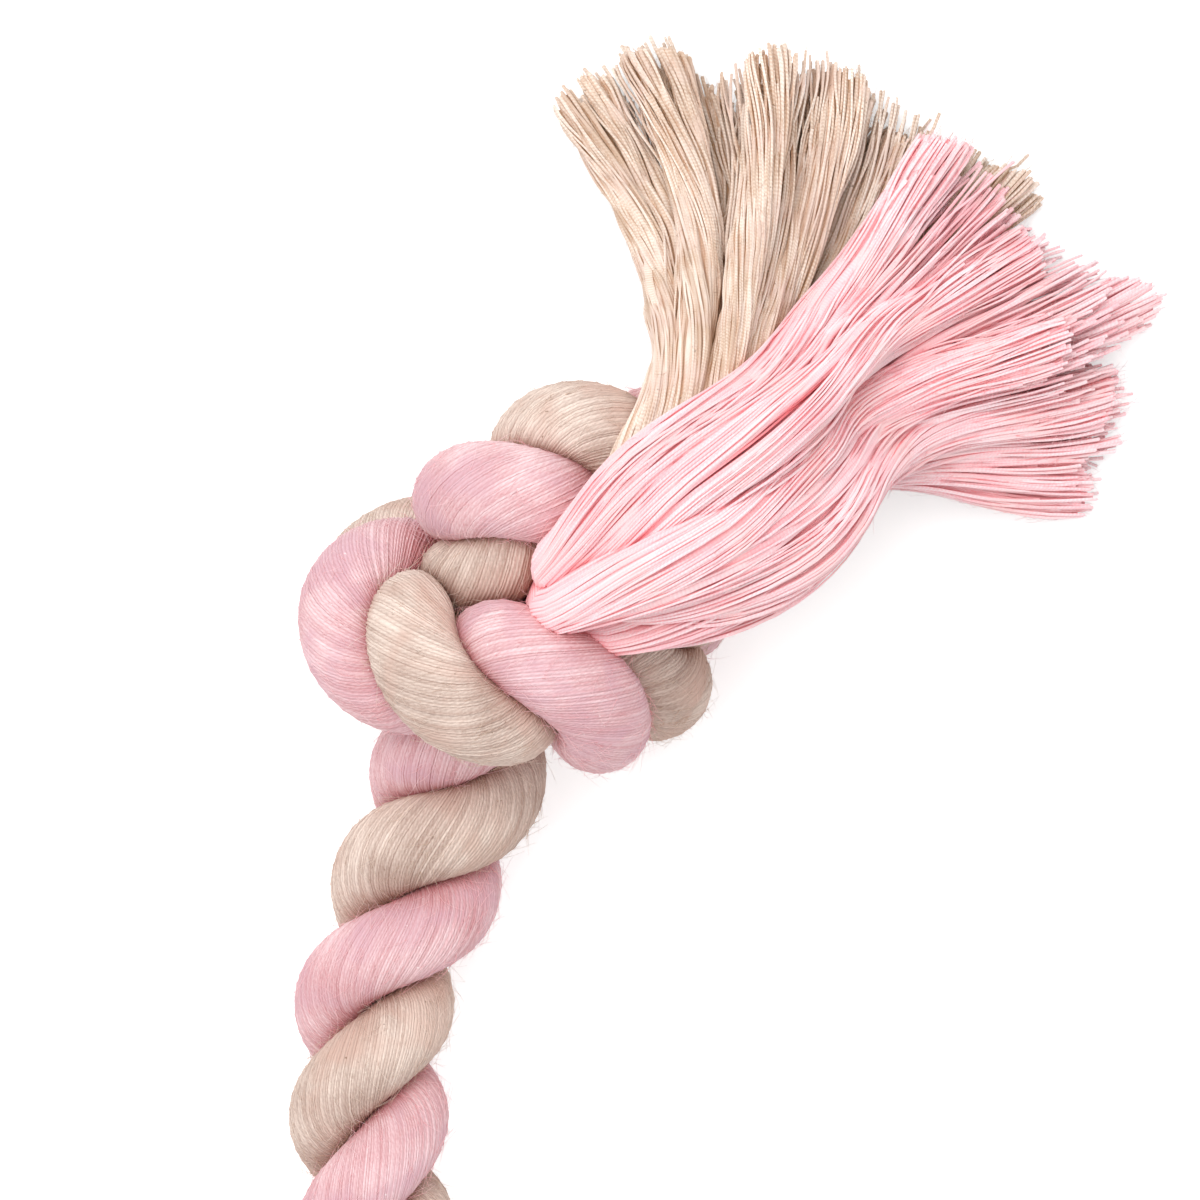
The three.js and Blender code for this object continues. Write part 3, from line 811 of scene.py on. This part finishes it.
def fibres(starts, tangents, outward, rng):
    """Loose fibres as lines of points: each leaves the surface at a slant and curls."""
    outward = outward / np.linalg.norm(outward, axis=1, keepdims=True)
    sideways = np.cross(tangents, outward)
    count = len(starts)
    length = rng.uniform(*FIBRE_LENGTHS, (count, 1, 1))
    lift = rng.uniform(*FIBRE_LIFTS, (count, 1, 1))
    turn, curl = rng.uniform(-1, 1, (2, count, 1, 1))
    way = rng.choice((-1, 1), (count, 1, 1))
    t = np.linspace(0, 1, FIBRE_POINTS)[None, :, None]
    lines = starts[:, None] + length * (
        tangents[:, None] * way * (t - FIBRE_SLOWING * t * t)
        + outward[:, None] * lift * (t - FIBRE_DROOP * t * t)
        + sideways[:, None] * (turn * t + curl * t * t) * FIBRE_CURL)
    lines[..., 2] = np.maximum(lines[..., 2], FIBRE_RADIUS)
    return lines


def strand_fibres(strand, part, rng):
    """Fibres on one half of a strand, all over its surface and along its yarns."""
    surface = strand["surface"][part]
    i = rng.integers(1, len(surface) - 1, STRAND_FIBRE_COUNT)
    j = rng.integers(0, surface.shape[1], STRAND_FIBRE_COUNT)
    tangents = surface[i + 1, j] - surface[i - 1, j]
    tangents = tangents / np.linalg.norm(tangents, axis=1, keepdims=True)
    return fibres(surface[i, j], tangents, surface[i, j] - strand["rings"][part][i], rng)


def lock_fibres(lines, count, rng):
    """Fibres on the yarns of one lock, away from its middle line."""
    middle = lines.mean(axis=0)
    tangents = tangents_of(lines)
    i = rng.integers(0, len(lines), count)
    onward = rng.uniform(size=count) ** TIP_FUZZ_POWER
    j = ROOT_POINTS + ((lines.shape[1] - ROOT_POINTS) * onward).astype(int)
    outward = lines[i, j] - middle[j] + np.array([0, 0, YARN_RADIUS])
    return fibres(lines[i, j], tangents[i, j], outward, rng)


# Meshes

def tube_faces(tubes, count, sides, u, v, closed):
    """The tubes' faces, with flat ends where they are closed: corners, corners per face, and map."""
    tube, ring, side = np.meshgrid(np.arange(tubes), np.arange(count - 1), np.arange(sides), indexing="ij")
    after = (side + 1) % sides

    def corner(i, j):
        return (tube * count + i) * sides + j

    corners = np.stack([corner(ring, side), corner(ring, after),
                        corner(ring + 1, after), corner(ring + 1, side)], axis=-1).reshape(-1)
    across = np.stack([u[tube, side], u[tube, side + 1], u[tube, side + 1], u[tube, side]], axis=-1)
    onward = np.stack([v[tube, ring], v[tube, ring], v[tube, ring + 1], v[tube, ring + 1]], axis=-1)
    uv = np.stack([across, onward], axis=-1).reshape(-1, 2)
    sizes = np.full(tubes * (count - 1) * sides, 4)
    for end in closed:
        rims = (np.arange(tubes)[:, None] * count + end) * sides + np.arange(sides)
        rims = rims if end else rims[:, ::-1]
        corners = np.concatenate([corners, rims.reshape(-1)])
        sizes = np.concatenate([sizes, np.full(tubes, sides)])
        rim_uv = np.stack([u[:, :sides], np.broadcast_to(v[:, end:end + 1], (tubes, sides))], axis=-1)
        uv = np.vstack([uv, rim_uv.reshape(-1, 2)])
    return corners, sizes, uv


def tubes_mesh(name, rings, u, v, closed, material, lit=None):
    """One mesh of tubes from their rings; its map has u round each tube and v along it."""
    corners, sizes, uv = tube_faces(*rings.shape[:3], u, v, closed)
    mesh = bpy.data.meshes.new(name)
    mesh.vertices.add(rings.size // 3)
    mesh.vertices.foreach_set("co", rings.reshape(-1))
    mesh.loops.add(len(corners))
    mesh.loops.foreach_set("vertex_index", corners.astype(np.int32))
    mesh.polygons.add(len(sizes))
    starts = np.concatenate([[0], np.cumsum(sizes)[:-1]])
    mesh.polygons.foreach_set("loop_start", starts.astype(np.int32))
    mesh.uv_layers.new(name="yarn").data.foreach_set("uv", uv.reshape(-1))
    mesh.materials.append(material)
    mesh.update(calc_edges=True)
    mesh.validate()
    mesh.shade_smooth()
    if lit is not None:
        mesh.normals_split_custom_set_from_vertices(lit.reshape(-1, 3).tolist())
    piece = bpy.data.objects.new(name, mesh)
    bpy.context.collection.objects.link(piece)
    return piece


# Material

def link(tree, kind, inputs=None, **settings):
    """A new node with its settings and its inputs, each a number, a colour or another's output."""
    made = tree.nodes.new(kind)
    for name, value in settings.items():
        setattr(made, name, value)
    for socket, value in (inputs or {}).items():
        if isinstance(value, bpy.types.NodeSocket):
            tree.links.new(value, made.inputs[socket])
        else:
            made.inputs[socket].default_value = value
    return made


def linear(red, green, blue):
    """A colour as it is seen on a screen, of 255, as the light that it gives back."""
    return tuple(((c / 255 + 0.055) / 1.055) ** 2.4 for c in (red, green, blue)) + (1,)


def calculate(tree, operation, *values):
    """The outcome of a sum on numbers and other nodes' outputs."""
    return link(tree, "ShaderNodeMath", dict(enumerate(values)), operation=operation).outputs[0]


def mapped(tree, value, run, low, high):
    """A value taken from its run to the range from low to high, and no further."""
    inputs = {0: value, 1: run[0], 2: run[1], 3: low, 4: high}
    return link(tree, "ShaderNodeMapRange", inputs).outputs[0]


def mixed(tree, share, first, second):
    """The first colour, with as much of the second as the share says."""
    return link(tree, "ShaderNodeMix", {0: share, 6: first, 7: second}, data_type="RGBA").outputs[2]


def cloudy(tree, place, pattern):
    """A noise at the scale, detail and distortion of a pattern."""
    inputs = {"Vector": place, "Scale": pattern["scale"], "Detail": pattern["detail"],
              "Distortion": pattern["distortion"]}
    return link(tree, "ShaderNodeTexNoise", inputs).outputs[0]


def yarn_places(tree):
    """From a tube's map: its yarn's number, the share of the way round it, the way along it, and a
    random value of the yarn's own."""
    uv = link(tree, "ShaderNodeUVMap", uv_map="yarn")
    parts = link(tree, "ShaderNodeSeparateXYZ", {"Vector": uv.outputs["UV"]}).outputs
    number = calculate(tree, "FLOOR", parts["X"])
    own = link(tree, "ShaderNodeTexWhiteNoise", {"W": number}, noise_dimensions="1D").outputs["Value"]
    return number, calculate(tree, "FRACT", parts["X"]), parts["Y"], own


def ply_waves(tree, own, fraction, along):
    """The twist of the plies in each yarn, as waves from -1 to 1."""
    turn = calculate(tree, "ADD", own, fraction)
    twist = calculate(tree, "MULTIPLY_ADD", along, PLIES_PER_METRE, turn)
    return calculate(tree, "SINE", calculate(tree, "MULTIPLY", twist, 2 * math.pi))


def yarn_runs(tree, number, along):
    """Lighter and darker runs along each yarn."""
    onward = calculate(tree, "MULTIPLY", along, RUNS_PER_METRE)
    row = calculate(tree, "MULTIPLY", number, ROW_STEP)
    return cloudy(tree, link(tree, "ShaderNodeCombineXYZ", {"X": row, "Y": onward}).outputs[0], RUNS)


def summed_tone(tree, own, unlike, waves):
    """How deep the colour is, from 0 to 1: the yarn's own tone and its share of each of the waves."""
    tone = calculate(tree, "MULTIPLY_ADD", own, unlike, (0.5 - unlike) / 2)
    for wave, share in waves:
        tone = calculate(tree, "MULTIPLY_ADD", wave, share, tone)
    return mapped(tree, tone, TONE_RANGE, 0.0, 1.0)


def cotton_colour(tree, yarn, plies, colours, make):
    """Each yarn's own tone with lighter and darker runs and the plies' painted shade, tinted patches and
    specks, painted shade darkening the grooves between yarns, and a deeper painted shade colour where the
    surface is closed in within a reach."""
    number, fraction, along, own = yarn
    place = link(tree, "ShaderNodeTexCoord").outputs["Object"]
    # The plies' share of the tone is painted shade along their twisted grooves
    tone = summed_tone(tree, own, make["unlike"], [
        (yarn_runs(tree, number, along), RUN_SHARE), (cloudy(tree, place, PATCHES), PATCH_SHARE),
        (cloudy(tree, place, GRAIN), GRAIN_SHARE), (plies, make["ply_shade_share"])])
    stain = mapped(tree, cloudy(tree, place, STAINS), STAIN_RANGE, 0.0, STAIN_SHARE)
    # Painted shade: darker towards the edges of each yarn's strip of the map, in the grooves between yarns
    edge = calculate(tree, "ABSOLUTE", calculate(tree, "SUBTRACT", fraction, 0.5))
    painted_groove_shade = mapped(tree, edge, GROOVE_SHADE_RANGE, 0.0, make["painted_groove_shade"])
    # Painted shade: where ambient occlusion finds the cotton closed in, the colour turns to the deeper,
    # warmer hidden colour
    openness = link(tree, "ShaderNodeAmbientOcclusion", {"Distance": make["reach"]},
                    samples=OPENNESS_SAMPLES).outputs["AO"]
    closed = mapped(tree, openness, PAINTED_SHADE_RANGE, 1.0, 0.0)
    speck = mapped(tree, cloudy(tree, place, SPECKS), SPECK_RANGE, 0.0, SPECK_SHARE)
    body = mixed(tree, tone, colours["light"], colours["deep"])
    # The groove and closed shares lay painted shade; the stains and specks are the cotton's own colour
    for share, use in ((stain, "tint"), (painted_groove_shade, "deep"), (closed, "hidden"), (speck, "fleck")):
        body = mixed(tree, share, body, colours[use])
    return body


def cotton(name, shown, make):
    """Soft cotton yarn, with its plies in relief and as painted shade in its colour."""
    colours = {use: linear(*colour) for use, colour in shown.items()}
    material = bpy.data.materials.new(name)
    material.use_nodes = True
    tree = material.node_tree
    yarn = yarn_places(tree)
    _, fraction, along, own = yarn
    plies = ply_waves(tree, own, fraction, along)
    shader = tree.nodes["Principled BSDF"]
    tree.links.new(cotton_colour(tree, yarn, plies, colours, make), shader.inputs["Base Color"])
    bump = link(tree, "ShaderNodeBump", {"Strength": PLY_STRENGTH, "Distance": PLY_DEPTH, "Height": plies})
    tree.links.new(bump.outputs[0], shader.inputs["Normal"])
    for socket, value in (("Roughness", ROUGHNESS), ("Specular IOR Level", SPECULAR),
                          ("Sheen Weight", SHEEN), ("Sheen Roughness", SHEEN_ROUGHNESS),
                          ("Sheen Tint", colours["light"])):
        shader.inputs[socket].default_value = value
    return material


# Stage

def add_camera():
    """A camera straight above the toy that sees the photograph's frame."""
    side = PHOTO_SIDE_PX / PHOTO_PX_PER_M
    x = (PHOTO_SIDE_PX / 2 - PHOTO_ORIGIN_PX[0]) / PHOTO_PX_PER_M
    y = (PHOTO_ORIGIN_PX[1] - PHOTO_SIDE_PX / 2) / PHOTO_PX_PER_M
    data = bpy.data.cameras.new("camera")
    data.sensor_width = SENSOR_WIDTH
    data.lens = SENSOR_WIDTH * (CAMERA_HEIGHT - FOCUS_HEIGHT) / side
    data.clip_end = 2 * CAMERA_HEIGHT
    camera = bpy.data.objects.new("camera", data)
    camera.location = (x, y, CAMERA_HEIGHT)
    bpy.context.collection.objects.link(camera)
    bpy.context.scene.camera = camera


def add_floor():
    """A pale floor that shows white to the eye and keeps the toy's shadow."""
    data = bpy.data.meshes.new("floor")
    far = FLOOR_REACH
    corners = [(-far, -far, 0), (far, -far, 0), (far, far, 0), (-far, far, 0)]
    data.from_pydata(corners, [], [(0, 1, 2, 3)])
    floor = bpy.data.objects.new("floor", data)
    bpy.context.collection.objects.link(floor)
    material = bpy.data.materials.new("floor")
    material.use_nodes = True
    tree = material.node_tree
    shader = tree.nodes["Principled BSDF"]
    shader.inputs["Base Color"].default_value = FLOOR_COLOUR
    shader.inputs["Roughness"].default_value = 1
    shader.inputs["Specular IOR Level"].default_value = 0
    rays = link(tree, "ShaderNodeLightPath").outputs
    seen = calculate(tree, "MAXIMUM", rays["Is Camera Ray"], rays["Is Glossy Ray"])
    seen = calculate(tree, "MAXIMUM", seen, rays["Is Transmission Ray"])
    lift = calculate(tree, "MULTIPLY", seen, FLOOR_LIFT)
    shader.inputs["Emission Color"].default_value = (1, 1, 1, 1)
    tree.links.new(lift, shader.inputs["Emission Strength"])
    data.materials.append(material)


def add_light(name, location, aim, size, power):
    """A square lamp turned towards its aim."""
    data = bpy.data.lights.new(name, "AREA")
    data.size = size
    data.energy = power
    light = bpy.data.objects.new(name, data)
    light.location = location
    light.rotation_euler = (Vector(aim) - Vector(location)).to_track_quat("-Z", "Y").to_euler()
    bpy.context.collection.objects.link(light)


def add_lights():
    """A plain pale sky and one soft window."""
    world = bpy.data.worlds.new("world")
    bpy.context.scene.world = world
    world.use_nodes = True
    world.node_tree.nodes["Background"].inputs["Color"].default_value = (1, 1, 1, 1)
    world.node_tree.nodes["Background"].inputs["Strength"].default_value = SKY_STRENGTH
    add_light("window", WINDOW_PLACE, WINDOW_AIM, WINDOW_SIDE, WINDOW_POWER)
    bpy.context.scene.view_settings.view_transform = "Standard"


# Pieces

def turned(lines, half):
    return lines if half == "near" else lines * HALF_TURN


def add_locks(colour, locks, strand, look, yarns, material, seed):
    """The locks of both tassels of one colour, each a piece of its own."""
    rng = np.random.default_rng(seed)
    pieces = {"near": [], "far": []}
    fuzz = []
    for k, lock in enumerate(locks):
        beside = locks[k + 1] if k + 1 < len(locks) else locks[k - 1]
        lines, hank = lock_yarns(lock, beside, strand, look, yarns, rng)
        fuzz.append(lock_fibres(lines, TASSEL_FIBRE_COUNT // len(locks), rng))
        radius = yarn_thickness(yarns, lines.shape[1], look, rng)
        ways = ways_round(lines, YARN_SIDES)
        rings = tube_rings(lines, ways, radius)
        lit = softened(ways, lines, hank)
        along = lengths_along(lines)
        u = (k * yarns + np.arange(yarns))[:, None] + np.linspace(0, YARN_MAP_END, YARN_SIDES + 1)
        for half in ("near", "far"):
            name = f"{colour}_lock_{k + 1}_{half}"
            piece = tubes_mesh(f"{name}_yarns", turned(rings, half), u, along, [rings.shape[1] - 1],
                               material, turned(lit, half))
            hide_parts(name)
            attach(piece, f"{half}_half")
            pieces[half].append(piece)
    fuzz = np.concatenate(fuzz)
    for half in ("near", "far"):
        piece = add_fuzz(f"{colour}_tassel_fuzz_{half}", turned(fuzz, half), material)
        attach(piece, f"{half}_half")
    return pieces


def add_fuzz(name, lines, material):
    """Loose fibres as one piece, each finer towards its tip."""
    radius = FIBRE_RADIUS * np.linspace(1, FIBRE_TIP_SHARE, FIBRE_POINTS) * np.ones((len(lines), 1))
    u = np.arange(len(lines))[:, None] + np.linspace(*FIBRE_MAP_RUN, FIBRE_SIDES + 1)
    v = np.broadcast_to(np.linspace(0, FIBRE_LENGTHS[0], FIBRE_POINTS), (len(lines), FIBRE_POINTS))
    rings = tube_rings(lines, ways_round(lines, FIBRE_SIDES), radius)
    piece = tubes_mesh(name, rings, u, v, [], material)
    return piece


def add_strand(colour, strand, material, fuzz_material, seed):
    """A strand as two pieces that meet at the toy's middle, each with fuzz of its own."""
    middle = strand["middle"]
    rng = np.random.default_rng(seed)
    u = np.arange(strand["surface"].shape[1] + 1)[None] / POINTS_PER_YARN
    for half, part in (("near", slice(middle, None)), ("far", slice(None, middle + 1))):
        surface = strand["surface"][part]
        end = len(surface) - 1 if half == "near" else 0
        piece = tubes_mesh(f"{colour}_strand_{half}_yarns", surface[None], u,
                           strand["along"][None, part], [end], material)
        solids = [f"{colour}_strand_{half}"] + [f"{colour}_strand_bend"] * (half == "near")
        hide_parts(*solids)
        fuzz = add_fuzz(f"{colour}_strand_fuzz_{half}", strand_fibres(strand, part, rng),
                        fuzz_material)
        for soft in (piece, fuzz):
            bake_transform(soft)
        line = strand["rings"][part]
        line = line if half == "near" else line[::-1]


add_camera()
strands = lay_strands()
settle(strands)
pink, cream = strands
cream_locks = lay_tassel(CREAM_LOCKS, cream, CREAM_TASSEL_REACH, CREAM_NECK, CREAM_FALL,
                         CREAM_WIDENING_SHARES)
pink_locks = lay_tassel(PINK_LOCKS, pink, PINK_TASSEL_REACH, PINK_NECK, PINK_FALL,
                        PINK_WIDENING_SHARES)
settle([swollen(pink), swollen(cream)] + cream_locks + pink_locks)

pink_strand_cotton = cotton("pink_cotton_strand", PINK_STRAND_COLOURS, STRAND_COTTON)
cream_strand_cotton = cotton("cream_cotton_strand", CREAM_STRAND_COLOURS, STRAND_COTTON)
pink_yarn_cotton = cotton("pink_cotton_yarn", PINK_YARN_COLOURS, YARN_COTTON)
cream_yarn_cotton = cotton("cream_cotton_yarn", CREAM_YARN_COLOURS, YARN_COTTON)

pink_surface = strand_surface(pink, cream, seed=11)
cream_surface = strand_surface(cream, pink, seed=12)
cream_pieces = add_locks("cream", cream_locks, cream_surface, CREAM_LOOK, CREAM_YARN_COUNT,
                         cream_yarn_cotton, seed=21)
pink_pieces = add_locks("pink", pink_locks, pink_surface, PINK_LOOK, PINK_YARN_COUNT,
                        pink_yarn_cotton, seed=22)
add_strand("pink", pink_surface, pink_strand_cotton, pink_yarn_cotton, seed=31)
add_strand("cream", cream_surface, cream_strand_cotton, cream_yarn_cotton, seed=32)
add_floor()
add_lights()
